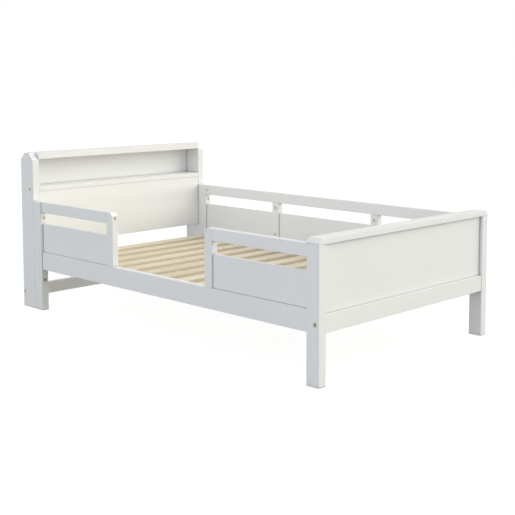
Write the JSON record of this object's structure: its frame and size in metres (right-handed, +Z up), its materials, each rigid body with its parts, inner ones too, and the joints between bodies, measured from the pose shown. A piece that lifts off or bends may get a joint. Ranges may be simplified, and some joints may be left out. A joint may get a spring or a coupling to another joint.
{
  "type": "toddler bed",
  "caption": "Low white wooden child's bed with a shelf headboard, panelled footboard, slatted base, a full guard on one long side and two short guards with an entry gap on the other.",
  "frame": {"origin": "on the floor, under the middle of the bed's overall box", "axes": "+X from the headboard to the footboard, +Y from the entry side to the closed side, +Z up"},
  "size_m": [1.43, 0.8, 0.554],
  "materials": {
    "white_painted_wood": "semi-matt white paint over smooth solid wood",
    "painted_back_board": "semi-matt white paint on thin board",
    "pine_slat": "unfinished sanded pine",
    "pine_ledger": "unfinished planed pine",
    "beech_dowel": "fluted beech",
    "zinc_plated_steel": "zinc plated, slightly yellow",
    "cast_zinc": "plain cast"
  },
  "bodies": {
    "root": {"back_panel_screws": "zinc_plated_steel", "barrel_nuts": "zinc_plated_steel", "cam_nuts": "cast_zinc", "cam_pins": "zinc_plated_steel", "carcass_screws": "zinc_plated_steel", "cubby_back_panel": "painted_back_board", "far_guard_panel_foot": "white_painted_wood", "far_guard_panel_head": "white_painted_wood", "far_guard_panel_middle": "white_painted_wood", "far_guard_post_foot": "white_painted_wood", "far_guard_post_head": "white_painted_wood", "far_guard_top_rail": "white_painted_wood", "foot_guard_panel": "white_painted_wood", "foot_guard_stile": "white_painted_wood", "foot_guard_top_rail": "white_painted_wood", "foot_leg_far": "white_painted_wood", "foot_leg_near": "white_painted_wood", "foot_rail_bolts": "zinc_plated_steel", "footboard_bottom_rail": "white_painted_wood", "footboard_cap": "white_painted_wood", "footboard_panel": "white_painted_wood", "frame_dowels": "beech_dowel", "guard_base_bolts": "zinc_plated_steel", "guard_dowels": "beech_dowel", "guard_post_bolts": "zinc_plated_steel", "guard_rail_studs": "zinc_plated_steel", "guard_stile_bolts": "zinc_plated_steel", "head_guard_panel": "white_painted_wood", "head_guard_stile": "white_painted_wood", "head_guard_top_rail": "white_painted_wood", "head_post_far": "white_painted_wood", "head_post_near": "white_painted_wood", "headboard_lower_panel": "white_painted_wood", "headboard_shelf": "white_painted_wood", "headboard_side_far": "white_painted_wood", "headboard_side_near": "white_painted_wood", "headboard_stretcher": "white_painted_wood", "headboard_top_board": "white_painted_wood", "ledger_screws": "zinc_plated_steel", "post_bolts": "zinc_plated_steel", "side_rail_far": "white_painted_wood", "side_rail_near": "white_painted_wood", "slat_01": "pine_slat", "slat_02": "pine_slat", "slat_03": "pine_slat", "slat_04": "pine_slat", "slat_05": "pine_slat", "slat_06": "pine_slat", "slat_07": "pine_slat", "slat_08": "pine_slat", "slat_09": "pine_slat", "slat_10": "pine_slat", "slat_11": "pine_slat", "slat_12": "pine_slat", "slat_13": "pine_slat", "slat_14": "pine_slat", "slat_ledger_far": "pine_ledger", "slat_ledger_near": "pine_ledger", "slat_screws": "zinc_plated_steel"}
  },
  "joints": []
}
